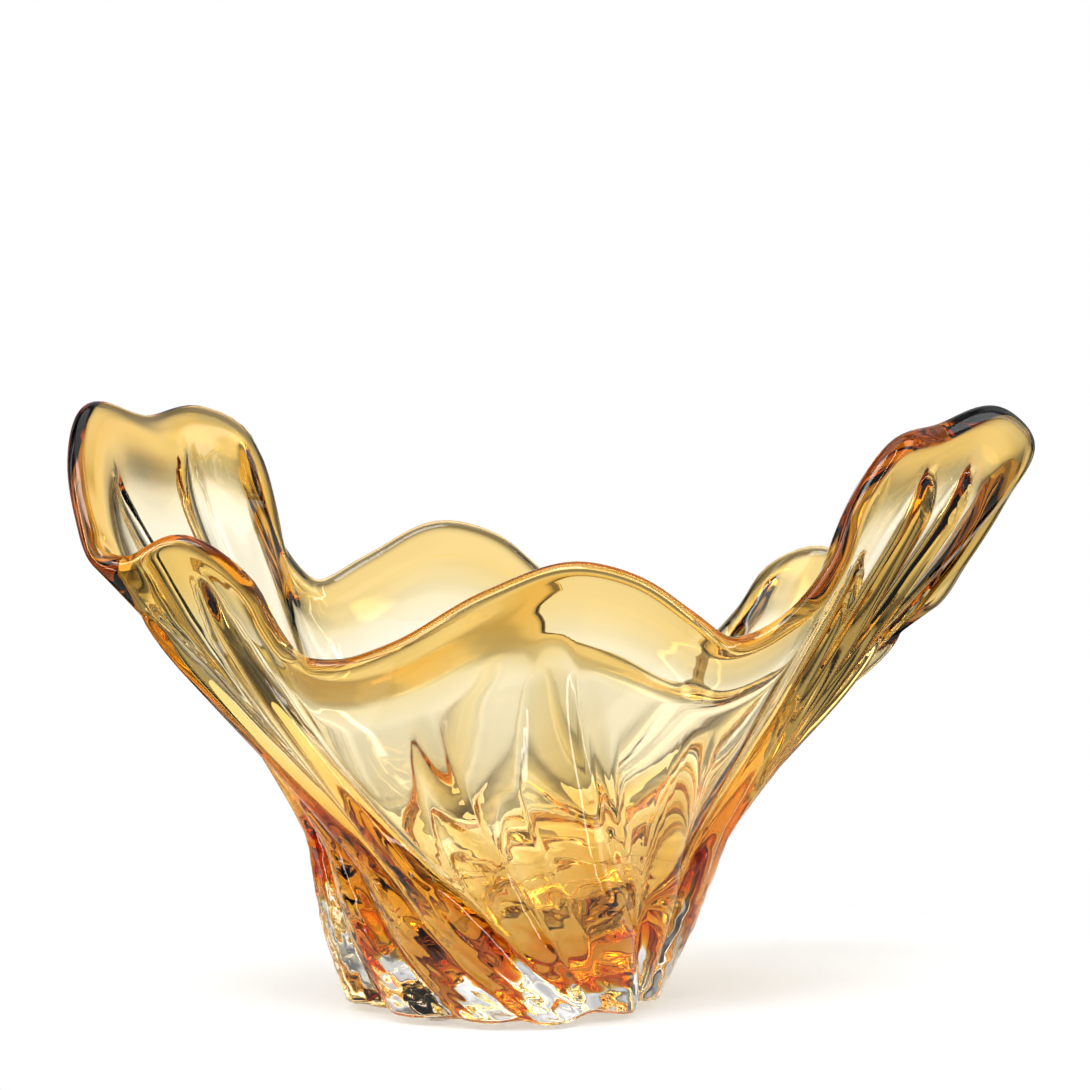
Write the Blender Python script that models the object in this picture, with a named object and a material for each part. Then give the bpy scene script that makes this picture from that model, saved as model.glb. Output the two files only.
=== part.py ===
"""Hand-worked art glass bowl: an amber bowl with a clear glass foot cased round it, on clear pads.

The sizes below are millimetres; the finished meshes are metres, +Z up. Two tall wings point along X.
Each wall is a loft between unlike sections: a round folded foot and a free wandering rim.
"""

import math

import bmesh
import bpy
import numpy as np

MM = 0.001

# Driving sizes.
FOOT_PLANE = 2.8  # height of the glass's ground underside
FOOT_RADIUS = 66.0  # at the floor of the grooves between the folds
WAIST_RADIUS = 93.0
FOOT_ROUNDING = 7.0
FOOT_OFFSET = -20.0  # the foot stands this far along X from the middle of the rim
MIDDLE_RIM_HEIGHT = 235.0
RIM_THICKNESS = 11.0
PONTIL_RADIUS = 26.0
PONTIL_DEPTH = 1.5
PAD_DIAMETER = 13.0
PAD_THICKNESS = 2.5
PAD_EDGE = 0.8  # softening of its lower edge
PAD_CIRCLE_RADIUS = 62.0
PAD_AZIMUTHS = {"front_left": 238, "front_right": 330, "back_right": 58, "back_left": 150}
GAP = 0.3  # between pieces that touch in the real bowl
LIP_GAP = 0.8  # measured up the wall, where steep folds narrow it

# Mesh fineness.
COLUMNS = 124
RIM_FINENESS = 2400
FOLD_FINENESS = 1.6
FOLD_WIDTH = 11.0

# The rim's crest, walked once round from the right wing's tip by way of the front: x, y, height.
RIM_POINTS = (
    (257, 33, 293), (242, 15, 308), (208, -20, 301), (184, -50, 295), (165, -65, 268), (153, -75, 238),
    (125, -85, 208), (97, -95, 199), (75, -110, 214), (46, -120, 234), (19, -125, 241),
    (-25, -122, 227), (-75, -112, 198), (-102, -106, 189), (-125, -106, 192), (-137, -108, 205),
    (-153, -110, 234), (-180, -108, 252), (-208, -98, 239), (-223, -88, 241), (-232, -75, 262),
    (-238, -55, 291), (-235, -30, 312), (-208, 15, 304), (-184, 45, 308), (-166, 60, 298),
    (-156, 72, 270), (-148, 85, 233), (-125, 98, 210), (-93, 112, 224), (-54, 122, 242),
    (-28, 125, 235), (-2, 125, 214), (45, 124, 188), (90, 117, 173), (116, 118, 195),
    (130, 115, 217), (151, 110, 228), (183, 102, 203), (209, 92, 201), (227, 80, 227), (246, 60, 262),
)

# The folds, once round from the left wing's tip by way of the front. Azimuth at the rim and at the
# foot in degrees, ridge height at the foot and on the wall, half width at the foot and on the wall,
# how far up the wall the ridge reaches and over how much of the wall it ends, as shares of its height.
FOLDS = (
    (172, 156, 10, 10, 14, 6, 0.955, 0.07),
    (182, 170, 14, 2, 18, 8, 0.60, 0.15),
    (189, 196, 16, 7, 26, 6, 0.93, 0.07),
    (194, 238, 15, 4, 25, 8, 0.84, 0.15),
    (203, 269, 15, 6, 22, 11, 0.90, 0.12),
    (212, 294, 17, 9, 21, 13, 0.95, 0.12),
    (240, 305, 10, 3, 13, 14, 0.84, 0.40),
    (258, 316, 10, 3, 14, 18, 0.55, 0.30),
    (273, 326, 15, 9, 18, 22, 0.88, 0.35),
    (284, 332, 6, 4, 10, 14, 0.80, 0.40),
    (316, 337, 8, 4, 12, 18, 0.74, 0.40),
    (347, 342, 10, 10, 14, 8, 0.84, 0.10),
    (355, 347, 12, 13, 16, 9, 0.95, 0.07),
    (363, 354, 13, 11, 18, 8, 0.93, 0.07),
    (369, 384, 14, 10, 22, 11, 0.72, 0.15),
    (373, 418, 15, 5, 25, 8, 0.86, 0.15),
    (383, 449, 15, 7, 22, 11, 0.90, 0.12),
    (392, 474, 17, 11, 21, 13, 0.95, 0.12),
    (415, 485, 10, 4, 13, 12, 0.80, 0.30),
    (442, 497, 11, 4, 14, 12, 0.84, 0.35),
    (464, 510, 16, 6, 19, 14, 0.88, 0.35),
)

# Profiles by share of the wall's height, from the foot (0) to the rim (1).
LOW_RADIUS = ((0.0, FOOT_RADIUS), (0.12, 78.0), (0.20, 86.0), (0.33, WAIST_RADIUS), (1.0, WAIST_RADIUS))
WALL_THICKNESS = (
    (0.0, 15.0), (0.20, 10.5), (0.36, 6.0), (0.5, 3.4), (0.62, 2.5), (0.78, 2.6), (0.85, 4.5), (0.91, 8.5),
    (0.96, 11.0), (1.0, RIM_THICKNESS),
)
WING_THICKNESS = (
    (0.0, 15.0), (0.20, 10.5), (0.36, 6.0), (0.5, 3.4), (0.62, 2.5), (0.84, 2.7), (0.90, 5.0), (0.95, 11.5),
    (0.98, 13.0), (1.0, RIM_THICKNESS),
)
CASING_THICKNESS = ((0.0, 9.0), (0.12, 7.5), (0.20, 6.0), (0.30, 4.0), (0.38, 2.0))
FLARE_START = 0.34
FLARE_SOFTNESS = 0.08
TWIST_SHARPNESS = 2.5
CAVITY_TOP, CAVITY_FLOOR = 0.40, 0.095
CORE_TOP, CORE_FLOOR = 0.38, 0.07
CLOSING_POWER = 2.6  # 2 closes the hollow and the joint to round bottoms, more makes them squarer
CASING_LIP = 0.38
INNER_FOLLOW = 0.4  # how much of the folds shows inside
BED_FOLLOW = 0.6  # how much of the folds the fused joint follows at the foot
BED_RISE = (0.20, CASING_LIP)  # it comes to follow all of them between these shares
FOOT_TO_WALL = (0.08, 0.60)  # shares between which ridges change from their foot to their wall size
FOOT_PEAK, WALL_PEAK = 0.75, 1.1  # more makes a ridge's cross-section more peaked
TIP_WIDTH = 0.4  # a ridge's width where it ends, as a share of its full width
BLUNT_FADE = 0.15  # a ridge that ends over no more of the wall than this ends bluntly
SLOW_TAPER = 2.5  # how much sharper the others end
LOBE_TO_WING = (240.0, 295.0)  # rim heights between which the wall changes from a lobe's to a wing's
FOLD_SOFTNESS = 22.0  # the rim's wander shorter than this fades out down the wall
FOOT_SOFTNESS = 6.0
RIM_SOFTNESS = 4.0
NORMAL_SOFTNESS = 14.0
NORMAL_STEP = 0.004
FOLD_MERGING = 6  # how sharply neighbouring folds meet


def clear_scene():
    """Removes whatever objects the file starts with."""
    for old in list(bpy.data.objects):
        bpy.data.objects.remove(old, do_unlink=True)


def new_collection(name):
    """A collection linked to the scene."""
    collection = bpy.data.collections.new(name)
    bpy.context.scene.collection.children.link(collection)
    return collection


def glass(name, color, ior, roughness):
    """A see-through Principled material."""
    material = bpy.data.materials.new(name)
    material.use_nodes = True
    shader = material.node_tree.nodes["Principled BSDF"]
    shader.inputs["Base Color"].default_value = color
    shader.inputs["Transmission Weight"].default_value = 1.0
    shader.inputs["IOR"].default_value = ior
    shader.inputs["Roughness"].default_value = roughness
    return material


def ramp(low, high, value):
    """0 below low, 1 above high, smooth between."""
    share = np.clip((value - low) / (high - low), 0.0, 1.0)
    return share * share * (3.0 - 2.0 * share)


def profile(table, share):
    """A smooth value from a table of (share, value) points."""
    return float(hermite(*np.array(table, dtype=float).T, np.array([share]), monotone=True)[0])


def hermite(places, values, at, monotone=False):
    """Cubic curve through values at places; a monotone one never overshoots them."""
    steps = np.diff(places)
    rises = np.diff(values) / steps
    before, after = rises[:-1], rises[1:]
    middle = (before * steps[1:] + after * steps[:-1]) / (steps[1:] + steps[:-1])
    if monotone:
        same_way = before * after > 0
        total = np.where(same_way, before + after, 1.0)
        middle = np.where(same_way, 2.0 * before * after / total, 0.0)
    slopes = np.concatenate([rises[:1], middle, rises[-1:]])
    k = np.clip(np.searchsorted(places, at, side="right") - 1, 0, len(steps) - 1)
    h = steps[k]
    t = (at - places[k]) / h
    near = (1 + 2 * t) * (1 - t) ** 2 * values[k] + t * (1 - t) ** 2 * h * slopes[k]
    far = t * t * (3 - 2 * t) * values[k + 1] + t * t * (t - 1) * h * slopes[k + 1]
    return near + far


def loop_hermite(places, values, at, period, turn=0.0, monotone=False):
    """hermite() on a closed run, where values grow by turn each period."""
    wraps = np.arange(-2, 4)
    long_places = np.concatenate([places + period * w for w in wraps])
    long_values = np.concatenate([values + turn * w for w in wraps])
    return hermite(long_places, long_values, at, monotone)


def soften(values, length, width):
    """A closed run of evenly spaced values with detail narrower than width smoothed out."""
    waves = np.fft.rfftfreq(len(values), length / len(values))
    return np.fft.irfft(np.fft.rfft(values) * np.exp(-2.0 * (math.pi * waves * width) ** 2), len(values))


def rim_line(places, values, at):
    """One coordinate of the rim, rounded a little between its points."""
    length = places[-1]
    return soften(loop_hermite(places, values, at, length), length, RIM_SOFTNESS)


def fine_rim():
    """The rim at evenly spaced places: its length, azimuth, radius and height."""
    points = np.array(RIM_POINTS[::-1], dtype=float)
    places = np.cumsum(np.linalg.norm(points - np.roll(points, 1, axis=0), axis=1))
    length = places[-1]
    at = np.linspace(0.0, length, RIM_FINENESS, endpoint=False)
    x, y, z = (rim_line(places, points[:, axis], at) for axis in range(3))
    return length, np.degrees(np.unwrap(np.arctan2(y, x))), np.hypot(x, y), z - RIM_THICKNESS / 2


def column_places(count, foot_azimuth, fold_places, length):
    """Places along the rim for the upright columns, closest together on the folds."""
    at = np.linspace(0.0, length, RIM_FINENESS, endpoint=False)
    foot_steps = np.radians(np.diff(foot_azimuth, append=foot_azimuth[0] + 360.0)) * WAIST_RADIUS
    weight = length / RIM_FINENESS * 0.5 + foot_steps
    for place in fold_places:
        away = (at - place + length / 2) % length - length / 2
        weight = weight + FOLD_FINENESS * np.exp(-((away / FOLD_WIDTH) ** 2))
    measure = np.concatenate([[0.0], np.cumsum(weight)])
    wanted = np.linspace(0.0, measure[-1], count, endpoint=False)
    return np.interp(wanted, measure, np.append(at, length))


class Wall:
    """The bowl's outside before its folds, and everything that is measured from it."""

    def __init__(self, columns):
        length, azimuth, radius, height = fine_rim()
        self.folds = np.array(FOLDS, dtype=float)
        at = np.linspace(0.0, length, RIM_FINENESS, endpoint=False)
        foot_azimuth = loop_hermite(self.folds[:, 0], self.folds[:, 1], azimuth, 360.0, 360.0, monotone=True)
        lead = azimuth[0] + (self.folds[:, 0] - azimuth[0]) % 360.0
        self.fold_places = np.interp(lead, np.append(azimuth, azimuth[0] + 360.0), np.append(at, length))
        self.places = column_places(columns, foot_azimuth, self.fold_places, length)
        self.length = length
        even_turn = 360.0 * at / length
        soft_foot = soften(foot_azimuth - even_turn, length, FOOT_SOFTNESS) + even_turn
        self.foot_azimuth = self.pick(soft_foot, 360.0)
        sharp = (azimuth, radius, height)
        soft = (
            soften(azimuth - even_turn, length, FOLD_SOFTNESS) + even_turn,
            soften(radius, length, FOLD_SOFTNESS),
            soften(height, length, FOLD_SOFTNESS),
        )
        away = (self.places[:, None] - self.places[None, :] + length / 2) % length - length / 2
        spacing = (np.roll(self.places, -1) - np.roll(self.places, 1)) % length
        self.neighbours = np.exp(-((away / NORMAL_SOFTNESS) ** 2)) * spacing
        turns = (360.0, 0.0, 0.0)
        self.sharp_rim = [self.pick(values, turn) for values, turn in zip(sharp, turns)]
        self.soft_rim = [self.pick(values, turn) for values, turn in zip(soft, turns)]

    def pick(self, values, turn):
        """The columns' values from a fine run that grows by turn each time round."""
        at = np.linspace(0.0, self.length, RIM_FINENESS + 1)
        return np.interp(self.places, at, np.append(values, values[0] + turn))

    def rim_value(self, which, share):
        """The rim's azimuth, radius or height, which counts with less detail lower down."""
        return self.soft_rim[which] + (self.sharp_rim[which] - self.soft_rim[which]) * min(share, 1.0) ** 3

    def azimuth(self, share):
        settle = 1.0 - (1.0 - min(share, 1.0)) ** TWIST_SHARPNESS
        return self.foot_azimuth + (self.rim_value(0, share) - self.foot_azimuth) * settle

    def axis(self, share):
        return FOOT_OFFSET * (1.0 - share)

    def height(self, share):
        """Height of each column, and the middle height."""
        middle = FOOT_PLANE + (MIDDLE_RIM_HEIGHT - FOOT_PLANE) * share
        return middle + (self.rim_value(2, share) - MIDDLE_RIM_HEIGHT) * share * share, middle

    def radius(self, share):
        """Radius from the axis, a foot that flares into the rim."""
        reach = (share - FLARE_START) / (1.0 - FLARE_START)
        flare = (reach + math.hypot(reach, FLARE_SOFTNESS)) / (1.0 + math.hypot(1.0, FLARE_SOFTNESS))
        low = profile(LOW_RADIUS, min(max(share, 0.0), 1.0))
        return low + (self.rim_value(1, share) - low) * flare

    def smooth(self, share):
        """Points of the outside without folds."""
        angle = np.radians(self.azimuth(share))
        radius = self.radius(share)
        x = self.axis(share) + radius * np.cos(angle)
        return np.stack([x, radius * np.sin(angle), self.height(share)[0]], axis=1)

    def normal(self, share):
        """Unit vectors that point out of the glass, averaged so that thick glass never folds over."""
        here = self.smooth(share)
        along = np.roll(here, -1, axis=0) - np.roll(here, 1, axis=0)
        up = self.smooth(share + NORMAL_STEP) - self.smooth(share - NORMAL_STEP)
        out = np.cross(along, up)
        out = self.neighbours @ (out / np.linalg.norm(out, axis=1, keepdims=True))
        return out / np.linalg.norm(out, axis=1, keepdims=True)

    def ridges(self, share):
        """Height of the folds above the smooth outside."""
        ring = self.smooth(share)
        steps = np.linalg.norm(np.roll(ring, -1, axis=0) - ring, axis=1)
        around = np.concatenate([[0.0], np.cumsum(steps)])
        closed_places = np.append(self.places, self.places[0] + self.length)
        total = np.zeros(len(self.places))
        on_wall = float(ramp(*FOOT_TO_WALL, share))
        peak = FOOT_PEAK + (WALL_PEAK - FOOT_PEAK) * on_wall
        for place, fold in zip(self.fold_places, self.folds):
            foot_high, wall_high, foot_half, wall_half, reach, fade = fold[2:]
            centre = np.interp(self.places[0] + (place - self.places[0]) % self.length, closed_places, around)
            away = (around[:-1] - centre + around[-1] / 2) % around[-1] - around[-1] / 2
            end = min(max((reach - share) / fade, 0.0), 1.0)
            half = (foot_half + (wall_half - foot_half) * on_wall) * (TIP_WIDTH + (1.0 - TIP_WIDTH) * end)
            across = np.clip(np.abs(away / half), 0.0, 1.0)
            taper = (end * (2.0 - end)) ** (0.5 + SLOW_TAPER * max(fade - BLUNT_FADE, 0.0))
            high = (foot_high + (wall_high - foot_high) * on_wall) * taper
            total += (high * (1.0 - across**2) ** peak) ** FOLD_MERGING
        return total ** (1.0 / FOLD_MERGING)

    def outside(self, share, depth=0.0, follow=1.0):
        """The folded outside, or a surface depth under it that follows part of the folds."""
        lift = self.ridges(share) * follow - depth
        return self.smooth(share) + self.normal(share) * lift[:, None]

    def foot_ring(self, rise):
        """The outside near the floor, where its lower edge is rounded off."""
        share = rise / (MIDDLE_RIM_HEIGHT - FOOT_PLANE)
        ring = self.outside(share)
        level = FOOT_PLANE + rise
        ring[:, 2] = level + (ring[:, 2] - level) * (rise / FOOT_ROUNDING) ** 2
        inset = FOOT_ROUNDING - math.sqrt(max(FOOT_ROUNDING**2 - (FOOT_ROUNDING - rise) ** 2, 0.0))
        middle = np.array([self.axis(share), 0.0])
        ring[:, :2] = middle + (ring[:, :2] - middle) * (1.0 - inset / FOOT_RADIUS)
        return ring

    def inside(self, share):
        """The wall of the hollow, closing to a round bottom."""
        lobes, wings = profile(WALL_THICKNESS, share), profile(WING_THICKNESS, share)
        depth = lobes + (wings - lobes) * ramp(*LOBE_TO_WING, self.rim_value(2, 1.0))
        ring = self.outside(share, depth, INNER_FOLLOW)
        return self.close(ring, share, CAVITY_TOP, CAVITY_FLOOR)

    def bed(self, shares, offset):
        """Rings where amber meets clear glass, moved by offset towards the clear glass."""
        depths = [profile(CASING_THICKNESS, share) for share in shares]
        follows = [BED_FOLLOW + (1.0 - BED_FOLLOW) * float(ramp(*BED_RISE, share)) for share in shares]
        rings = [self.outside(*row) for row in zip(shares, depths, follows)]
        grid = np.array([self.close(ring, share, CORE_TOP, CORE_FLOOR) for ring, share in zip(rings, shares)])
        along = np.roll(grid, -1, axis=1) - np.roll(grid, 1, axis=1)
        out = np.cross(along, np.gradient(grid, axis=0))
        out /= np.linalg.norm(out, axis=2, keepdims=True)
        return list(grid + out * offset)

    def close(self, ring, share, top, floor):
        """Draws a ring towards the axis below top, down to a point at floor."""
        if share >= top:
            return ring
        width = max(1.0 - ((top - share) / (top - floor)) ** CLOSING_POWER, 0.0) ** (1.0 / CLOSING_POWER)
        middle = np.array([self.axis(share), 0.0, self.height(share)[1]])
        spread = np.array([width, width, min(1.0, width * 1.5)])
        return middle + (ring - middle) * spread

    def edge(self, steps):
        """Rings over the rim's round edge, from outside to inside."""
        crest = self.smooth(1.0)
        out = self.normal(1.0)
        along = np.roll(crest, -1, axis=0) - np.roll(crest, 1, axis=0)
        up = np.cross(out, along)
        up /= np.linalg.norm(up, axis=1, keepdims=True)
        middle = crest - out * RIM_THICKNESS / 2
        turns = [math.pi * (k + 1) / (steps + 1) for k in range(steps)]
        return [middle + (out * math.cos(t) + up * math.sin(t)) * RIM_THICKNESS / 2 for t in turns]


def bottom_heavy(low, high, count, power=1.8):
    """Shares from low to high, closest together at low."""
    return [low + (high - low) * (k / count) ** power for k in range(1, count + 1)]


def amber_rings(wall, core_rows, skin_rows, rim_rows, inner_rows, floor_rows):
    """The amber bowl from the middle of its underside, over the rim, to the middle of its floor."""
    lip = CASING_LIP + LIP_GAP / MIDDLE_RIM_HEIGHT
    rings = wall.bed(bottom_heavy(CORE_FLOOR, CASING_LIP, core_rows) + [lip], -GAP / 2)
    rings += [wall.outside(s) for s in np.linspace(lip, 1.0, skin_rows + 1)]
    rings += wall.edge(rim_rows)
    rings += [wall.inside(s) for s in np.linspace(1.0, CAVITY_TOP, inner_rows + 1)]
    rings += [wall.inside(s) for s in bottom_heavy(CAVITY_FLOOR, CAVITY_TOP, floor_rows)[-2::-1]]
    return rings


def casing_rings(wall, foot_rows, side_rows, core_rows):
    """The clear casing from the middle of its underside, up to its lip, to the middle of its bed."""
    edge = wall.foot_ring(0.0)
    middle = np.array([FOOT_OFFSET, 0.0, FOOT_PLANE])
    spokes = edge - middle
    length = np.linalg.norm(spokes, axis=1, keepdims=True)
    pontil = middle + spokes / length * PONTIL_RADIUS
    raised = pontil + np.array([0.0, 0.0, PONTIL_DEPTH])
    rings = [middle + (raised - middle) * np.array([0.5, 0.5, 1.0])]
    rings += [middle + (raised - middle) * np.array([0.9, 0.9, 1.0]), pontil]
    rings += [pontil + (edge - pontil) * 0.5]
    turns = [math.pi / 2 * k / foot_rows for k in range(foot_rows)]
    rings += [wall.foot_ring(FOOT_ROUNDING * (1.0 - math.cos(turn))) for turn in turns]
    start = FOOT_ROUNDING / (MIDDLE_RIM_HEIGHT - FOOT_PLANE)
    rings += [wall.outside(s) for s in np.linspace(start, CASING_LIP, side_rows + 1)]
    rings += wall.bed(bottom_heavy(CORE_FLOOR, CASING_LIP, core_rows), GAP / 2)[::-1]
    return rings


def closed_mesh(name, rings, first_height, last_height, rings_climb):
    """A closed mesh of triangles from rings of points, each end drawn to a point at its middle.

    Rings that climb and rings that descend are cut so that two pieces' facets match across a joint.
    """
    mesh = bmesh.new()
    rows = [[mesh.verts.new(point * MM) for point in ring] for ring in rings]
    count = len(rings[0])
    for low, high in zip(rows[:-1], rows[1:]):
        for k in range(count):
            following = (k + 1) % count
            if rings_climb:
                mesh.faces.new((low[k], low[following], high[following]))
                mesh.faces.new((low[k], high[following], high[k]))
            else:
                mesh.faces.new((low[k], low[following], high[k]))
                mesh.faces.new((low[following], high[following], high[k]))
    ends = ((rows[0], rings[0], first_height, False), (rows[-1], rings[-1], last_height, True))
    for row, ring, height, forward in ends:
        centre = ring.mean(axis=0)
        centre[2] = height
        tip = mesh.verts.new(centre * MM)
        for k in range(count):
            pair = (row[k], row[(k + 1) % count])
            mesh.faces.new((*pair, tip) if forward else (*pair[::-1], tip))
    data = bpy.data.meshes.new(name)
    mesh.to_mesh(data)
    mesh.free()
    return data


def pad_mesh(name):
    """A round clear bumper with a softened lower edge."""
    mesh = bmesh.new()
    radius = PAD_DIAMETER / 2 * MM
    bmesh.ops.create_cone(
        mesh, cap_ends=True, segments=32, radius1=radius, radius2=radius, depth=PAD_THICKNESS * MM
    )
    lower = [edge for edge in mesh.edges if all(vert.co.z < 0 for vert in edge.verts)]
    bmesh.ops.bevel(mesh, geom=lower, offset=PAD_EDGE * MM, segments=3, profile=0.5, affect="EDGES")
    data = bpy.data.meshes.new(name)
    mesh.to_mesh(data)
    mesh.free()
    return data


def add_part(collection, name, data, material, place=(0.0, 0.0, 0.0), smooth=True):
    """A named object from a mesh."""
    data.materials.append(material)
    data.polygons.foreach_set("use_smooth", [smooth] * len(data.polygons))
    part = bpy.data.objects.new(name, data)
    part.location = place
    collection.objects.link(part)
    return part


def centre_on_axis(parts):
    """Slides the whole bowl so that its box is centred over the origin."""
    corners = [part.location + vert.co for part in parts for vert in part.data.vertices]
    shift = [-(min(c[axis] for c in corners) + max(c[axis] for c in corners)) / 2 for axis in (0, 1)]
    for part in parts:
        part.location.x += shift[0]
        part.location.y += shift[1]


def main():
    clear_scene()
    bowl = new_collection("art_glass_bowl")
    wall = Wall(COLUMNS)
    amber = glass("amber_glass", (0.85, 0.42, 0.07, 1.0), 1.5, 0.02)
    clear = glass("clear_glass", (0.97, 0.98, 0.98, 1.0), 1.5, 0.02)
    soft = glass("clear_polyurethane", (0.9, 0.9, 0.93, 1.0), 1.49, 0.25)

    rings = amber_rings(wall, core_rows=6, skin_rows=11, rim_rows=3, inner_rows=8, floor_rows=5)
    bed_floor = wall.height(CORE_FLOOR)[1]
    cavity_floor = wall.height(CAVITY_FLOOR)[1]
    data = closed_mesh("amber_bowl", rings, bed_floor + GAP / 2, cavity_floor, rings_climb=True)
    parts = [add_part(bowl, "amber_bowl", data, amber)]

    rings = casing_rings(wall, foot_rows=3, side_rows=8, core_rows=6)
    pontil_top = FOOT_PLANE + PONTIL_DEPTH
    data = closed_mesh("clear_casing", rings, pontil_top, bed_floor - GAP / 2, rings_climb=False)
    parts.append(add_part(bowl, "clear_casing", data, clear))

    for name, azimuth in PAD_AZIMUTHS.items():
        turn = math.radians(azimuth)
        place = (
            (FOOT_OFFSET + PAD_CIRCLE_RADIUS * math.cos(turn)) * MM,
            PAD_CIRCLE_RADIUS * math.sin(turn) * MM,
            PAD_THICKNESS / 2 * MM,
        )
        parts.append(add_part(bowl, f"pad_{name}", pad_mesh(f"pad_{name}"), soft, place, smooth=False))

    centre_on_axis(parts)


main()
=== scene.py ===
import math

import bpy
import numpy as np
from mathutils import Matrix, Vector


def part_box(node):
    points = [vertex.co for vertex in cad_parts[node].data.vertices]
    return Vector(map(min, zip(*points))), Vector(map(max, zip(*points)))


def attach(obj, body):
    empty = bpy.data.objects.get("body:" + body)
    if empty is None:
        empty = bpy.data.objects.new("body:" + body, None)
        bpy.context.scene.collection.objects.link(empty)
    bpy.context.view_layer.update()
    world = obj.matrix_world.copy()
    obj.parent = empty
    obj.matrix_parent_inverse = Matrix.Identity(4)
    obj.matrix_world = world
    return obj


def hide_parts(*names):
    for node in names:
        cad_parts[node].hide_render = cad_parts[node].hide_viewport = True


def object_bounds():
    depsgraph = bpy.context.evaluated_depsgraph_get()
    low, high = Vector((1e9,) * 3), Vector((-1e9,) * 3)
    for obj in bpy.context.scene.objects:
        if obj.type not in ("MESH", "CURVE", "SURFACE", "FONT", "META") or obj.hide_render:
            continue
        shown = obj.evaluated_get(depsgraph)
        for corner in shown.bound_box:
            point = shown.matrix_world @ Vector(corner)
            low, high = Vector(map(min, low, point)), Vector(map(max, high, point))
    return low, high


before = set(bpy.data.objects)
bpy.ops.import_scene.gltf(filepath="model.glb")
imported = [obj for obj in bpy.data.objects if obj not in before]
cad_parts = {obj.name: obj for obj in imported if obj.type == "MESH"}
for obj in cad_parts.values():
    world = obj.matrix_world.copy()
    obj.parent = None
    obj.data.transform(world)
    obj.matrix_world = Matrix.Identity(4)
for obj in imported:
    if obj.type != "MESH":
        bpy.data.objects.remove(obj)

CAD_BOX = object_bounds()
MM = 0.001

# Driving sizes in millimetres, as in the CAD.
FOOT_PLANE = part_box("clear_casing")[0].z / MM
FOOT_RADIUS = 66.0  # at the floor of the grooves between the folds
WAIST_RADIUS = 93.0
FOOT_ROUNDING = 7.0
FOOT_OFFSET = -20.0
MIDDLE_RIM_HEIGHT = 235.0
RIM_THICKNESS = 11.0
PONTIL_RADIUS = 26.0
PONTIL_DEPTH = 1.5
JOINT_GAP = 0.1  # thin enough not to show, since no light bends at the fused joint
LIP_GAP = 0.15

# Mesh fineness.
COLUMNS = 440
RIM_FINENESS = 6000
FOLD_FINENESS = 0.55
FOLD_WIDTH = 13.0

# The rim's crest, walked once round from the right wing's tip by way of the front: x, y, height.
RIM_POINTS = (
    (257, 33, 293), (242, 15, 308), (208, -20, 301), (184, -50, 295), (165, -65, 268), (153, -75, 238),
    (125, -85, 208), (97, -95, 199), (75, -110, 214), (46, -120, 234), (19, -125, 241),
    (-25, -122, 227), (-75, -112, 198), (-102, -106, 189), (-125, -106, 192), (-137, -108, 205),
    (-153, -110, 234), (-180, -108, 252), (-208, -98, 239), (-223, -88, 241), (-232, -75, 262),
    (-238, -55, 291), (-235, -30, 312), (-208, 15, 304), (-184, 45, 308), (-166, 60, 298),
    (-156, 72, 270), (-148, 85, 233), (-125, 98, 210), (-93, 112, 224), (-54, 122, 242),
    (-28, 125, 235), (-2, 125, 214), (45, 124, 188), (90, 117, 173), (116, 118, 195),
    (130, 115, 217), (151, 110, 228), (183, 102, 203), (209, 92, 201), (227, 80, 227), (246, 60, 262),
)

# The folds, once round from the left wing's tip by way of the front. Azimuth at the rim and at the
# foot in degrees, ridge height at the foot and on the wall, half width at the foot and on the wall,
# how far up the wall the ridge reaches and over how much of the wall it ends, as shares of its height.
FOLDS = (
    (172, 156, 10, 10, 14, 6, 0.955, 0.07),
    (182, 170, 14, 2, 18, 8, 0.60, 0.15),
    (189, 196, 16, 7, 26, 6, 0.93, 0.07),
    (194, 238, 15, 4, 25, 8, 0.84, 0.15),
    (203, 269, 15, 6, 22, 11, 0.90, 0.12),
    (212, 294, 17, 9, 21, 13, 0.95, 0.12),
    (240, 305, 10, 3, 13, 14, 0.84, 0.40),
    (258, 316, 10, 3, 14, 18, 0.55, 0.30),
    (273, 326, 15, 9, 18, 22, 0.88, 0.35),
    (284, 332, 6, 4, 10, 14, 0.80, 0.40),
    (316, 337, 8, 4, 12, 18, 0.74, 0.40),
    (347, 342, 10, 10, 14, 8, 0.84, 0.10),
    (355, 347, 12, 13, 16, 9, 0.95, 0.07),
    (363, 354, 13, 11, 18, 8, 0.93, 0.07),
    (369, 384, 14, 10, 22, 11, 0.72, 0.15),
    (373, 418, 15, 5, 25, 8, 0.86, 0.15),
    (383, 449, 15, 7, 22, 11, 0.90, 0.12),
    (392, 474, 17, 11, 21, 13, 0.95, 0.12),
    (415, 485, 10, 4, 13, 12, 0.80, 0.30),
    (442, 497, 11, 4, 14, 12, 0.84, 0.35),
    (464, 510, 16, 6, 19, 14, 0.88, 0.35),
)

# Profiles by share of the wall's height, from the foot (0) to the rim (1).
LOW_RADIUS = ((0.0, FOOT_RADIUS), (0.12, 78.0), (0.20, 86.0), (0.33, WAIST_RADIUS), (1.0, WAIST_RADIUS))
WALL_THICKNESS = (
    (0.0, 15.0), (0.20, 10.5), (0.36, 6.0), (0.5, 3.4), (0.62, 2.5), (0.78, 2.6), (0.85, 4.5), (0.91, 8.5),
    (0.96, 11.0), (1.0, RIM_THICKNESS),
)
WING_THICKNESS = (
    (0.0, 15.0), (0.20, 10.5), (0.36, 6.0), (0.5, 3.4), (0.62, 2.5), (0.84, 2.7), (0.90, 5.0), (0.95, 11.5),
    (0.98, 13.0), (1.0, RIM_THICKNESS),
)
CASING_THICKNESS = ((0.0, 9.0), (0.12, 7.5), (0.20, 6.0), (0.30, 3.0), (0.38, 0.3))
FLARE_START = 0.34
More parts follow.
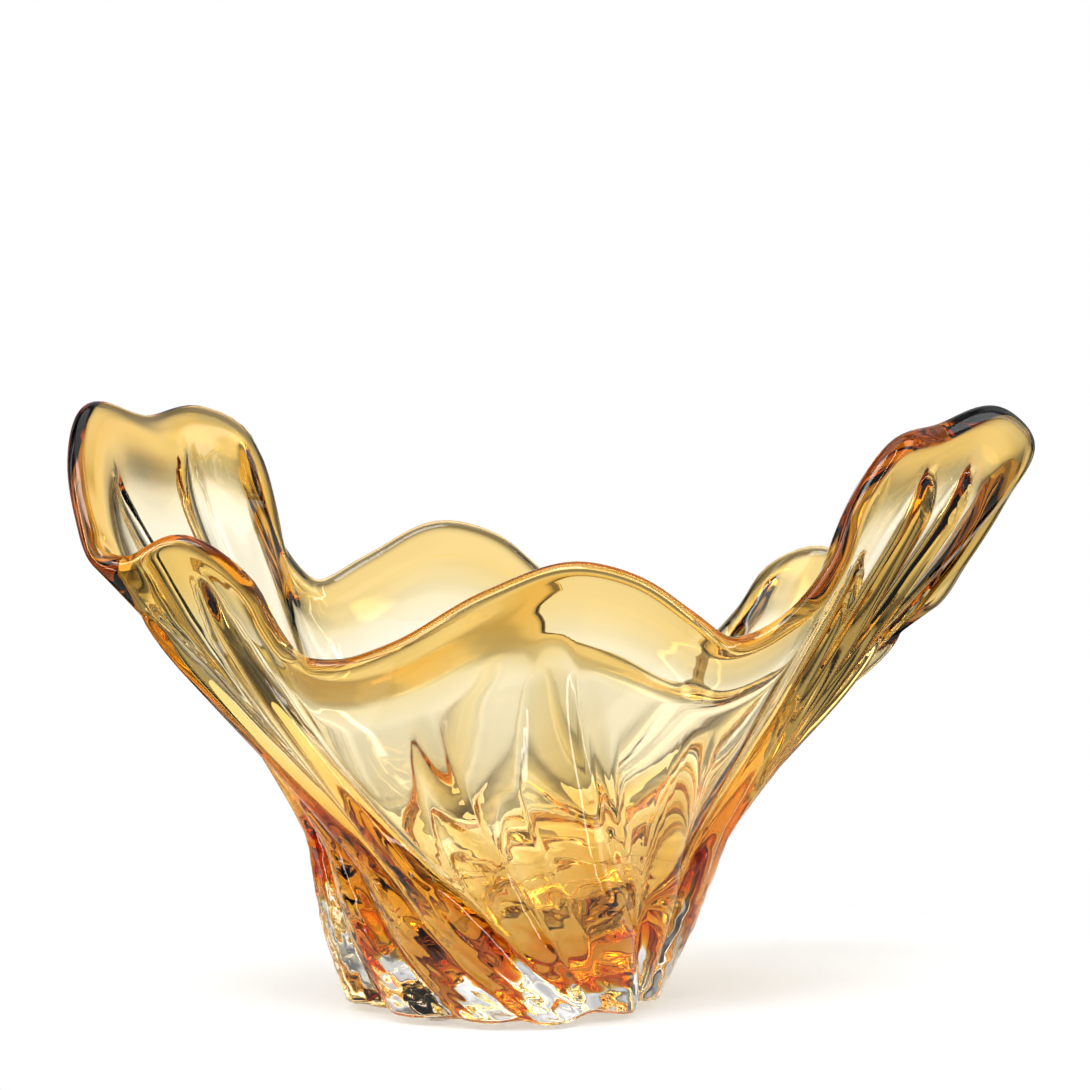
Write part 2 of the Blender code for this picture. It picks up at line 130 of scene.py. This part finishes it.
FLARE_SOFTNESS = 0.08
TWIST_SHARPNESS = 2.5
CAVITY_TOP, CAVITY_FLOOR = 0.40, 0.095
CORE_TOP, CORE_FLOOR = 0.38, 0.07
CLOSING_POWER = 2.6  # 2 closes the hollow and the joint to round bottoms, more makes them squarer
CASING_LIP = 0.38
BED_FOLLOW = 0.6  # how much of the folds the fused joint follows at the foot
BED_RISE = (0.20, CASING_LIP)  # it comes to follow all of them between these shares
FOOT_TO_WALL = (0.08, 0.60)  # shares between which ridges change from their foot to their wall size
FOOT_PEAK, WALL_PEAK = 0.75, 1.1  # more makes a ridge's cross-section more peaked
TIP_WIDTH = 0.4  # a ridge's width where it ends, as a share of its full width
BLUNT_FADE = 0.15  # a ridge that ends over no more of the wall than this ends bluntly
SLOW_TAPER = 2.5  # how much sharper the others end
LOBE_TO_WING = (240.0, 295.0)  # rim heights between which the wall changes from a lobe's to a wing's
FOLD_SOFTNESS = 22.0  # the rim's wander shorter than this fades out down the wall
FOOT_SOFTNESS = 6.0
RIM_SOFTNESS = 4.0
NORMAL_SOFTNESS = 14.0
NORMAL_STEP = 0.004
FOLD_MERGING = 6  # how sharply neighbouring folds meet
INNER_FOLLOW = 0.4  # how much of the folds shows inside
RIPPLE_HEIGHT = 0.25
RIPPLE_FADE = (0.25, 0.55)  # shares between which the ripples die out
PONTIL_STEPS = (0.25, 0.5, 0.75, 0.9)  # rings in the pontil hollow, by share of its radius
SOLE_STEPS = (0.0, 0.25, 0.5, 0.75)  # rings from there to the foot's edge, by share of the way

# A bumper pad from the middle of its underside to the middle of its top, by share of radius and height.
PAD_PROFILE = (
    (0.0, 0.0), (0.55, 0.0), (0.8, 0.06), (0.93, 0.3), (1.0, 0.75), (1.0, 0.96), (0.97, 1.0), (0.0, 1.0),
)
PAD_SIDES = 64

GLASS_IOR = 1.5
# How much light each metre of amber takes out of red, green and blue.
AMBER_ABSORPTION = (6.0, 29.5, 105.0)

# The floor is partly a light table: it stays pale under the glass's shadow.
FLOOR_RADIUS = 0.34  # metres
FLOOR_GREY = 0.5
FLOOR_GLOW = 0.45

# The camera, in metres and degrees.
CAMERA_TARGET_X = -0.0082
CAMERA_DISTANCE = 2.36
CAMERA_ELEVATION = 7.0
FRAME_WIDTH = 0.567  # what the picture takes in at the target
CAMERA_SHIFT = 0.1445
SENSOR_WIDTH = 36.0  # millimetres
BOUNCES = 24
GAMMA = 0.85

# The studio, as the glass sees it. Each light is a patch of the sky: azimuth and elevation of its
# middle, its width and height, how soft its edges are (all in degrees), and how bright it is. A black
# card takes brightness away.
STUDIO_LIGHTS = (
    (58, -5, 126, 110, 14, 0.5),  # backdrop
    (150, -10, 50, 90, 10, 0.4),  # its far left end
    (90, -2, 28, 18, 14, 0.45),  # bright middle of the backdrop
    (33, 25, 30, 50, 10, 0.35),  # its near right end
    (90, -28, 126, 22, 8, -0.3),  # dark edge of the table
    (270, 5, 120, 90, 20, 0.4),  # pale wall behind the camera
    (116, 0, 12, 60, 6, -0.42),  # black card left of the bright middle
    (64, 0, 12, 60, 6, -0.42),  # black card right of it
    (145, 10, 10, 70, 6, -0.5),  # black card far left
    (15, 10, 10, 70, 6, -0.3),  # black card far right
    (90, 90, 360, 60, 12, 1.6),  # overhead box
    (260, 62, 70, 22, 6, 8.0),  # bright box over the front
    (215, 32, 40, 40, 8, 3.0),  # key box, front left
    (200, 5, 5, 70, 3, 9.0),  # narrow strip, front left
    (335, 15, 5, 70, 3, 9.0),  # narrow strip, front right
    (5, 20, 12, 70, 6, 2.2),  # strip, right
    (170, 20, 12, 70, 6, 2.2),  # strip, left
    (300, 10, 24, 30, 10, 0.7),  # fill, front right
)
ROOM_LIGHT = 0.12


def ramp(low, high, value):
    """0 below low, 1 above high, smooth between."""
    share = np.clip((value - low) / (high - low), 0.0, 1.0)
    return share * share * (3.0 - 2.0 * share)


def hermite(places, values, at, monotone=False):
    """Cubic curve through values at places; a monotone one never overshoots them."""
    steps = np.diff(places)
    rises = np.diff(values) / steps
    before, after = rises[:-1], rises[1:]
    middle = (before * steps[1:] + after * steps[:-1]) / (steps[1:] + steps[:-1])
    if monotone:
        same_way = before * after > 0
        total = np.where(same_way, before + after, 1.0)
        middle = np.where(same_way, 2.0 * before * after / total, 0.0)
    slopes = np.concatenate([rises[:1], middle, rises[-1:]])
    k = np.clip(np.searchsorted(places, at, side="right") - 1, 0, len(steps) - 1)
    h = steps[k]
    t = (at - places[k]) / h
    near = (1 + 2 * t) * (1 - t) ** 2 * values[k] + t * (1 - t) ** 2 * h * slopes[k]
    far = t * t * (3 - 2 * t) * values[k + 1] + t * t * (t - 1) * h * slopes[k + 1]
    return near + far


def profile(table, share):
    """A smooth value from a table of (share, value) points."""
    return float(hermite(*np.array(table, dtype=float).T, np.array([share]), monotone=True)[0])


def loop_hermite(places, values, at, period, turn=0.0, monotone=False):
    """hermite() on a closed run, where values grow by turn each period."""
    wraps = np.arange(-2, 4)
    long_places = np.concatenate([places + period * w for w in wraps])
    long_values = np.concatenate([values + turn * w for w in wraps])
    return hermite(long_places, long_values, at, monotone)


def soften(values, length, width):
    """A closed run of evenly spaced values with detail narrower than width smoothed out."""
    waves = np.fft.rfftfreq(len(values), length / len(values))
    return np.fft.irfft(np.fft.rfft(values) * np.exp(-2.0 * (math.pi * waves * width) ** 2), len(values))


def rim_line(places, values, at):
    """One coordinate of the rim, rounded a little between its points."""
    length = places[-1]
    return soften(loop_hermite(places, values, at, length), length, RIM_SOFTNESS)


def fine_rim():
    """The rim at evenly spaced places: its length, azimuth, radius and height."""
    points = np.array(RIM_POINTS[::-1], dtype=float)
    places = np.cumsum(np.linalg.norm(points - np.roll(points, 1, axis=0), axis=1))
    length = places[-1]
    at = np.linspace(0.0, length, RIM_FINENESS, endpoint=False)
    x, y, z = (rim_line(places, points[:, axis], at) for axis in range(3))
    return length, np.degrees(np.unwrap(np.arctan2(y, x))), np.hypot(x, y), z - RIM_THICKNESS / 2


def column_places(count, foot_azimuth, fold_places, length):
    """Places along the rim for the upright columns, closest together on the folds."""
    at = np.linspace(0.0, length, RIM_FINENESS, endpoint=False)
    step = length / RIM_FINENESS
    foot_steps = np.radians(np.diff(foot_azimuth, append=foot_azimuth[0] + 360.0)) * WAIST_RADIUS
    weight = step * 0.5 + foot_steps
    for place in fold_places:
        away = (at - place + length / 2) % length - length / 2
        weight = weight + step * FOLD_FINENESS * np.exp(-((away / FOLD_WIDTH) ** 2))
    measure = np.concatenate([[0.0], np.cumsum(weight)])
    wanted = np.linspace(0.0, measure[-1], count, endpoint=False)
    return np.interp(wanted, measure, np.append(at, length))


class Wall:
    """The bowl's outside before its folds, and everything that is measured from it."""

    def __init__(self, columns):
        length, azimuth, radius, height = fine_rim()
        self.folds = np.array(FOLDS, dtype=float)
        at = np.linspace(0.0, length, RIM_FINENESS, endpoint=False)
        foot_azimuth = loop_hermite(self.folds[:, 0], self.folds[:, 1], azimuth, 360.0, 360.0, monotone=True)
        lead = azimuth[0] + (self.folds[:, 0] - azimuth[0]) % 360.0
        self.fold_places = np.interp(lead, np.append(azimuth, azimuth[0] + 360.0), np.append(at, length))
        self.places = column_places(columns, foot_azimuth, self.fold_places, length)
        self.length = length
        even_turn = 360.0 * at / length
        soft_foot = soften(foot_azimuth - even_turn, length, FOOT_SOFTNESS) + even_turn
        self.foot_azimuth = self.pick(soft_foot, 360.0)
        sharp = (azimuth, radius, height)
        soft = (
            soften(azimuth - even_turn, length, FOLD_SOFTNESS) + even_turn,
            soften(radius, length, FOLD_SOFTNESS),
            soften(height, length, FOLD_SOFTNESS),
        )
        away = (self.places[:, None] - self.places[None, :] + length / 2) % length - length / 2
        spacing = (np.roll(self.places, -1) - np.roll(self.places, 1)) % length
        self.neighbours = np.exp(-((away / NORMAL_SOFTNESS) ** 2)) * spacing
        turns = (360.0, 0.0, 0.0)
        self.sharp_rim = [self.pick(values, turn) for values, turn in zip(sharp, turns)]
        self.soft_rim = [self.pick(values, turn) for values, turn in zip(soft, turns)]

    def pick(self, values, turn):
        """The columns' values from a fine run that grows by turn each time round."""
        at = np.linspace(0.0, self.length, RIM_FINENESS + 1)
        return np.interp(self.places, at, np.append(values, values[0] + turn))

    def rim_value(self, which, share):
        """The rim's azimuth, radius or height, which counts with less detail lower down."""
        return self.soft_rim[which] + (self.sharp_rim[which] - self.soft_rim[which]) * min(share, 1.0) ** 3

    def azimuth(self, share):
        """Azimuth of each column, which turns from the foot's to the rim's low on the wall."""
        settle = 1.0 - (1.0 - min(share, 1.0)) ** TWIST_SHARPNESS
        return self.foot_azimuth + (self.rim_value(0, share) - self.foot_azimuth) * settle

    def axis(self, share):
        """How far along X the middle of the wall stands."""
        return FOOT_OFFSET * (1.0 - share)

    def height(self, share):
        """Height of each column, and the middle height."""
        middle = FOOT_PLANE + (MIDDLE_RIM_HEIGHT - FOOT_PLANE) * share
        return middle + (self.rim_value(2, share) - MIDDLE_RIM_HEIGHT) * share * share, middle

    def radius(self, share):
        """Radius from the axis, a foot that flares into the rim."""
        reach = (share - FLARE_START) / (1.0 - FLARE_START)
        flare = (reach + math.hypot(reach, FLARE_SOFTNESS)) / (1.0 + math.hypot(1.0, FLARE_SOFTNESS))
        low = profile(LOW_RADIUS, min(max(share, 0.0), 1.0))
        return low + (self.rim_value(1, share) - low) * flare

    def smooth(self, share):
        """Points of the outside without folds."""
        angle = np.radians(self.azimuth(share))
        radius = self.radius(share)
        x = self.axis(share) + radius * np.cos(angle)
        return np.stack([x, radius * np.sin(angle), self.height(share)[0]], axis=1)

    def normal(self, share):
        """Unit vectors that point out of the glass, averaged so that thick glass never folds over."""
        here = self.smooth(share)
        along = np.roll(here, -1, axis=0) - np.roll(here, 1, axis=0)
        up = self.smooth(share + NORMAL_STEP) - self.smooth(share - NORMAL_STEP)
        out = np.cross(along, up)
        out = self.neighbours @ (out / np.linalg.norm(out, axis=1, keepdims=True))
        return out / np.linalg.norm(out, axis=1, keepdims=True)

    def ridges(self, share):
        """Height of the folds above the smooth outside."""
        ring = self.smooth(share)
        steps = np.linalg.norm(np.roll(ring, -1, axis=0) - ring, axis=1)
        around = np.concatenate([[0.0], np.cumsum(steps)])
        closed_places = np.append(self.places, self.places[0] + self.length)
        total = np.zeros(len(self.places))
        on_wall = float(ramp(*FOOT_TO_WALL, share))
        peak = FOOT_PEAK + (WALL_PEAK - FOOT_PEAK) * on_wall
        for place, fold in zip(self.fold_places, self.folds):
            foot_high, wall_high, foot_half, wall_half, reach, fade = fold[2:]
            centre = np.interp(self.places[0] + (place - self.places[0]) % self.length, closed_places, around)
            away = (around[:-1] - centre + around[-1] / 2) % around[-1] - around[-1] / 2
            end = min(max((reach - share) / fade, 0.0), 1.0)
            half = (foot_half + (wall_half - foot_half) * on_wall) * (TIP_WIDTH + (1.0 - TIP_WIDTH) * end)
            across = np.clip(np.abs(away / half), 0.0, 1.0)
            taper = (end * (2.0 - end)) ** (0.5 + SLOW_TAPER * max(fade - BLUNT_FADE, 0.0))
            high = (foot_high + (wall_high - foot_high) * on_wall) * taper
            total += (high * (1.0 - across**2) ** peak) ** FOLD_MERGING
        return total ** (1.0 / FOLD_MERGING) + self.ripples(share)

    def ripples(self, share):
        """Fine waves left by the hot shaping, strongest at the foot."""
        turn = np.radians(self.foot_azimuth)
        climb = share * MIDDLE_RIM_HEIGHT / WAIST_RADIUS
        broad = np.sin(31 * turn + 22 * climb) * np.sin(7 * turn - 29 * climb + 1.0)
        fine = np.sin(47 * turn - 18 * climb + 2 * np.sin(5 * turn)) * np.sin(19 * turn + 53 * climb)
        return (broad + 0.6 * fine) * RIPPLE_HEIGHT * float(1.0 - ramp(*RIPPLE_FADE, share))

    def outside(self, share, depth=0.0, follow=1.0):
        """The folded outside, or a surface depth under it that follows part of the folds."""
        lift = self.ridges(share) * follow - depth
        return self.smooth(share) + self.normal(share) * lift[:, None]

    def foot_ring(self, rise):
        """The outside near the floor, where its lower edge is rounded off."""
        share = rise / (MIDDLE_RIM_HEIGHT - FOOT_PLANE)
        ring = self.outside(share)
        level = FOOT_PLANE + rise
        ring[:, 2] = level + (ring[:, 2] - level) * (rise / FOOT_ROUNDING) ** 2
        inset = FOOT_ROUNDING - math.sqrt(max(FOOT_ROUNDING**2 - (FOOT_ROUNDING - rise) ** 2, 0.0))
        middle = np.array([self.axis(share), 0.0])
        ring[:, :2] = middle + (ring[:, :2] - middle) * (1.0 - inset / FOOT_RADIUS)
        return ring

    def inside(self, share):
        """The wall of the hollow, closing to a round bottom."""
        lobes, wings = profile(WALL_THICKNESS, share), profile(WING_THICKNESS, share)
        depth = lobes + (wings - lobes) * ramp(*LOBE_TO_WING, self.rim_value(2, 1.0))
        ring = self.outside(share, depth, INNER_FOLLOW)
        return self.close(ring, share, CAVITY_TOP, CAVITY_FLOOR)

    def bed(self, shares, offset):
        """Rings where amber meets clear glass, moved by offset towards the clear glass."""
        depths = [profile(CASING_THICKNESS, share) for share in shares]
        follows = [BED_FOLLOW + (1.0 - BED_FOLLOW) * float(ramp(*BED_RISE, share)) for share in shares]
        rings = [self.outside(*row) for row in zip(shares, depths, follows)]
        grid = np.array([self.close(ring, share, CORE_TOP, CORE_FLOOR) for ring, share in zip(rings, shares)])
        along = np.roll(grid, -1, axis=1) - np.roll(grid, 1, axis=1)
        out = np.cross(along, np.gradient(grid, axis=0))
        out /= np.linalg.norm(out, axis=2, keepdims=True)
        return list(grid + out * offset)

    def close(self, ring, share, top, floor):
        """Draws a ring towards the axis below top, down to a point at floor."""
        if share >= top:
            return ring
        width = max(1.0 - ((top - share) / (top - floor)) ** CLOSING_POWER, 0.0) ** (1.0 / CLOSING_POWER)
        middle = np.array([self.axis(share), 0.0, self.height(share)[1]])
        spread = np.array([width, width, min(1.0, width * 1.5)])
        return middle + (ring - middle) * spread

    def edge(self, steps):
        """Rings over the rim's round edge, from outside to inside."""
        crest = self.smooth(1.0)
        out = self.normal(1.0)
        along = np.roll(crest, -1, axis=0) - np.roll(crest, 1, axis=0)
        up = np.cross(out, along)
        up /= np.linalg.norm(up, axis=1, keepdims=True)
        middle = crest - out * RIM_THICKNESS / 2
        turns = [math.pi * (k + 1) / (steps + 1) for k in range(steps)]
        return [middle + (out * math.cos(t) + up * math.sin(t)) * RIM_THICKNESS / 2 for t in turns]


def bottom_heavy(low, high, count, power=1.8):
    """Shares from low to high, closest together at low."""
    return [low + (high - low) * (k / count) ** power for k in range(1, count + 1)]


def amber_rings(wall, core_rows, skin_rows, rim_rows, inner_rows, floor_rows):
    """The amber bowl's rings, from the middle of its underside to the middle of its floor.

    Also returns how many of the first rows of faces are the joint with the clear glass.
    """
    lip = CASING_LIP + LIP_GAP / MIDDLE_RIM_HEIGHT
    rings = wall.bed(bottom_heavy(CORE_FLOOR, CASING_LIP, core_rows) + [lip], -JOINT_GAP / 2)
    joint_rows = len(rings)
    rings += [wall.outside(s) for s in np.linspace(lip, 1.0, skin_rows + 1)]
    rings += wall.edge(rim_rows)
    rings += [wall.inside(s) for s in np.linspace(1.0, CAVITY_TOP, inner_rows + 1)]
    rings += [wall.inside(s) for s in bottom_heavy(CAVITY_FLOOR, CAVITY_TOP, floor_rows)[-2::-1]]
    return rings, joint_rows


def casing_rings(wall, foot_rows, side_rows, core_rows):
    """The clear casing's rings, from the middle of its underside to the middle of its bed.

    Also returns how many of the first rows of faces meet the air.
    """
    edge = wall.foot_ring(0.0)
    middle = np.array([FOOT_OFFSET, 0.0, FOOT_PLANE])
    spokes = edge - middle
    reach = np.linalg.norm(spokes, axis=1, keepdims=True)
    pontil = middle + spokes / reach * PONTIL_RADIUS
    lift = [np.array([0.0, 0.0, PONTIL_DEPTH * (1.0 - s**4)]) for s in PONTIL_STEPS]
    rings = [middle + (pontil - middle) * s + up for s, up in zip(PONTIL_STEPS, lift)]
    rings += [pontil + (edge - pontil) * s for s in SOLE_STEPS]
    turns = [math.pi / 2 * k / foot_rows for k in range(foot_rows)]
    rings += [wall.foot_ring(FOOT_ROUNDING * (1.0 - math.cos(turn))) for turn in turns]
    start = FOOT_ROUNDING / (MIDDLE_RIM_HEIGHT - FOOT_PLANE)
    rings += [wall.outside(s) for s in np.linspace(start, CASING_LIP, side_rows + 1)]
    open_rows = len(rings)
    rings += wall.bed(bottom_heavy(CORE_FLOOR, CASING_LIP, core_rows), JOINT_GAP / 2)[::-1]
    return rings, open_rows


def closed_mesh(name, rings, first_height, last_height, joint_faces):
    """A closed mesh from rings of points, with a face attribute that is 1 on the fused joint.

    joint_faces(row) says if a row of faces belongs to the joint; row 0 is the first end's fan.
    """
    count = len(rings[0])
    ends = ((rings[0], first_height), (rings[-1], last_height))
    tips = [np.append(ring.mean(axis=0)[:2], height) for ring, height in ends]
    points = np.concatenate([*rings, np.array(tips)]) * MM
    first_tip = len(rings) * count
    k = np.arange(count)
    following = (k + 1) % count
    faces = np.stack([following, k, np.full(count, first_tip)], axis=1).tolist()
    joint = [joint_faces(0)] * count
    for row in range(len(rings) - 1):
        low, high = row * count, (row + 1) * count
        faces += np.stack([low + k, low + following, high + following, high + k], axis=1).tolist()
        joint += [joint_faces(row + 1)] * count
    last = (len(rings) - 1) * count
    faces += np.stack([last + k, last + following, np.full(count, first_tip + 1)], axis=1).tolist()
    joint += [joint_faces(len(rings))] * count
    data = bpy.data.meshes.new(name)
    data.from_pydata(points.tolist(), [], faces)
    mark = data.attributes.new("joint", "FLOAT", "FACE")
    mark.data.foreach_set("value", np.array(joint, dtype=np.float32))
    data.polygons.foreach_set("use_smooth", [True] * len(data.polygons))
    sharpen_joint(data, joint)
    data.update()
    return data


def sharpen_joint(data, joint):
    """Marks the edges between joint faces and open faces as sharp."""
    faces_at = {}
    for face in data.polygons:
        for key in face.edge_keys:
            faces_at.setdefault(key, []).append(joint[face.index])
    sharp = [len(set(faces_at[edge.key])) > 1 for edge in data.edges]
    data.attributes.new("sharp_edge", "BOOLEAN", "EDGE").data.foreach_set("value", sharp)


def add_piece(data, material, node):
    """A shown piece that stands for one CAD node."""
    piece = bpy.data.objects.new(data.name, data)
    bpy.context.scene.collection.objects.link(piece)
    data.materials.append(material)
    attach(piece, "root")
    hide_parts(node)
    return piece


def fused_glass(name, absorption):
    """Glass that bends light where it meets air and not on faces marked as the fused joint."""
    material = bpy.data.materials.new(name)
    material.use_nodes = True
    tree = material.node_tree
    shader = tree.nodes["Principled BSDF"]
    shader.inputs["Base Color"].default_value = (1.0, 1.0, 1.0, 1.0)
    shader.inputs["Transmission Weight"].default_value = 1.0
    shader.inputs["Roughness"].default_value = 0.0
    mark = tree.nodes.new("ShaderNodeAttribute")
    mark.attribute_name = "joint"
    bend = tree.nodes.new("ShaderNodeMath")
    bend.operation = "MULTIPLY_ADD"
    bend.inputs[1].default_value = -GLASS_IOR + 1.0
    bend.inputs[2].default_value = GLASS_IOR
    tree.links.new(mark.outputs["Fac"], bend.inputs[0])
    tree.links.new(bend.outputs[0], shader.inputs["IOR"])
    if absorption:
        densest = max(absorption)
        volume = tree.nodes.new("ShaderNodeVolumeAbsorption")
        volume.inputs["Density"].default_value = densest
        volume.inputs["Color"].default_value = (*(1.0 - a / densest for a in absorption), 1.0)
        tree.links.new(volume.outputs[0], tree.nodes["Material Output"].inputs["Volume"])
    return material


def pad_plastic():
    """Soft clear polyurethane."""
    material = bpy.data.materials.new("clear_polyurethane")
    material.use_nodes = True
    shader = material.node_tree.nodes["Principled BSDF"]
    shader.inputs["Base Color"].default_value = (0.86, 0.86, 0.9, 1.0)
    shader.inputs["Transmission Weight"].default_value = 0.9
    shader.inputs["IOR"].default_value = 1.49
    shader.inputs["Roughness"].default_value = 0.3
    return material


def pad_mesh(name, low, high):
    """A domed clear bumper that fills a pad's box."""
    radius = (high.x - low.x) / 2
    middle = (low + high) / 2
    height = high.z - low.z
    turns = np.linspace(0.0, 2 * math.pi, PAD_SIDES, endpoint=False)
    rings = []
    for out, up in PAD_PROFILE[1:-1]:
        x = middle.x + radius * out * np.cos(turns)
        y = middle.y + radius * out * np.sin(turns)
        rings.append(np.stack([x, y, np.full(PAD_SIDES, low.z + height * up)], axis=1) / MM)
    return closed_mesh(name, rings, low.z / MM, high.z / MM, lambda row: 0.0)


def slide_onto(parts, low, high):
    """Slides parts together along the floor, so that their box is centred on the CAD box."""
    corners = np.concatenate([np.array([v.co for v in part.data.vertices]) for part in parts])
    shift = (Vector(low) + Vector(high)) / 2 - Vector((corners.min(0) + corners.max(0)) / 2)
    for part in parts:
        for vert in part.data.vertices:
            vert.co.x += shift.x
            vert.co.y += shift.y


def build_glass():
    """The amber bowl and the clear casing fused round its foot."""
    wall = Wall(COLUMNS)
    amber = fused_glass("amber_glass", AMBER_ABSORPTION)
    clear = fused_glass("clear_glass", None)
    rings, joint_rows = amber_rings(
        wall, core_rows=44, skin_rows=84, rim_rows=9, inner_rows=50, floor_rows=26
    )
    bed_floor = wall.height(CORE_FLOOR)[1]
    data = closed_mesh(
        "amber_glass", rings, bed_floor + JOINT_GAP / 2, wall.height(CAVITY_FLOOR)[1],
        lambda row: 1.0 if row <= joint_rows else 0.0,
    )
    bowl = add_piece(data, amber, "amber_bowl")
    rings, open_rows = casing_rings(wall, foot_rows=8, side_rows=44, core_rows=44)
    data = closed_mesh(
        "clear_glass", rings, FOOT_PLANE + PONTIL_DEPTH, bed_floor - JOINT_GAP / 2,
        lambda row: 0.0 if row < open_rows else 1.0,
    )
    casing = add_piece(data, clear, "clear_casing")
    slide_onto([bowl, casing], *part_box("amber_bowl"))


def build_pads():
    """The four bumper pads, each in its CAD box."""
    soft = pad_plastic()
    for node in sorted(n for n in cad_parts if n.startswith("pad_")):
        data = pad_mesh(f"{node}_dome", *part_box(node))
        add_piece(data, soft, node)


def build_floor():
    """A wide pale floor."""
    bpy.ops.mesh.primitive_circle_add(vertices=128, radius=FLOOR_RADIUS, fill_type="NGON")
    floor = bpy.context.object
    floor.name = "floor"
    material = bpy.data.materials.new("pale_floor")
    material.use_nodes = True
    shader = material.node_tree.nodes["Principled BSDF"]
    shader.inputs["Base Color"].default_value = (FLOOR_GREY, FLOOR_GREY, FLOOR_GREY, 1.0)
    shader.inputs["Emission Color"].default_value = (1.0, 1.0, 1.0, 1.0)
    shader.inputs["Emission Strength"].default_value = FLOOR_GLOW
    shader.inputs["Roughness"].default_value = 0.9
    shader.inputs["Specular IOR Level"].default_value = 0.1
    floor.data.materials.append(material)


def build_world():
    """A dim room with soft lights, behind a background that the camera sees as plain white."""
    world = bpy.data.worlds.new("studio")
    bpy.context.scene.world = world
    world.use_nodes = True
    tree = world.node_tree
    tree.nodes.clear()

    def math_node(operation, *values):
        node = tree.nodes.new("ShaderNodeMath")
        node.operation = operation
        for socket, value in zip(node.inputs, values):
            if isinstance(value, (int, float)):
                socket.default_value = value
            else:
                tree.links.new(value, socket)
        return node.outputs[0]

    def inside_band(away, half, soft):
        """1 where away is under half, fading out over soft."""
        band = tree.nodes.new("ShaderNodeMapRange")
        band.interpolation_type = "SMOOTHSTEP"
        tree.links.new(away, band.inputs["Value"])
        band.inputs["From Min"].default_value = math.radians(half + soft / 2)
        band.inputs["From Max"].default_value = math.radians(half - soft / 2)
        return band.outputs["Result"]

    coords = tree.nodes.new("ShaderNodeTexCoord")
    split = tree.nodes.new("ShaderNodeSeparateXYZ")
    tree.links.new(coords.outputs["Generated"], split.inputs[0])
    azimuth = math_node("ARCTAN2", split.outputs["Y"], split.outputs["X"])
    elevation = math_node("ARCSINE", split.outputs["Z"])
    total = ROOM_LIGHT
    for middle, up, width, height, soft, light in STUDIO_LIGHTS:
        turn = math_node("SUBTRACT", azimuth, math.radians(middle))
        turn = math_node("WRAP", turn, math.pi, -math.pi)
        across = inside_band(math_node("ABSOLUTE", turn), width / 2, soft)
        rise = math_node("ABSOLUTE", math_node("SUBTRACT", elevation, math.radians(up)))
        tall = inside_band(rise, height / 2, soft)
        patch = math_node("MULTIPLY", math_node("MULTIPLY", across, tall), light)
        total = math_node("ADD", total, patch)
    total = math_node("MAXIMUM", total, 0.0)
    lit = tree.nodes.new("ShaderNodeBackground")
    lit.inputs["Color"].default_value = (1.0, 1.0, 1.0, 1.0)
    tree.links.new(total, lit.inputs["Strength"])
    backdrop = tree.nodes.new("ShaderNodeBackground")
    backdrop.inputs["Color"].default_value = (1.0, 1.0, 1.0, 1.0)
    mix = tree.nodes.new("ShaderNodeMixShader")
    path = tree.nodes.new("ShaderNodeLightPath")
    tree.links.new(path.outputs["Is Camera Ray"], mix.inputs[0])
    tree.links.new(lit.outputs[0], mix.inputs[1])
    tree.links.new(backdrop.outputs[0], mix.inputs[2])
    output = tree.nodes.new("ShaderNodeOutputWorld")
    tree.links.new(mix.outputs[0], output.inputs[0])


def build_camera():
    """A long lens a little above the rim, with the bowl low in the frame."""
    low, high = CAD_BOX
    target = Vector((CAMERA_TARGET_X, 0.0, (low.z + high.z) / 2))
    elevation = math.radians(CAMERA_ELEVATION)
    camera = bpy.data.cameras.new("camera")
    holder = bpy.data.objects.new("camera", camera)
    bpy.context.scene.collection.objects.link(holder)
    back = Vector((0.0, -math.cos(elevation), math.sin(elevation)))
    holder.location = target + back * CAMERA_DISTANCE
    holder.rotation_euler = back.to_track_quat("Z", "Y").to_euler()
    camera.sensor_width = SENSOR_WIDTH
    camera.lens = SENSOR_WIDTH * CAMERA_DISTANCE / FRAME_WIDTH
    camera.shift_y = CAMERA_SHIFT
    bpy.context.scene.camera = holder


def set_looks():
    """Enough bounces for light to cross several walls of glass, and plain colours."""
    scene = bpy.context.scene
    scene.cycles.max_bounces = BOUNCES
    scene.cycles.transmission_bounces = BOUNCES
    scene.view_settings.view_transform = "Standard"
    scene.view_settings.gamma = GAMMA


build_glass()
build_pads()
build_floor()
build_world()
build_camera()
set_looks()
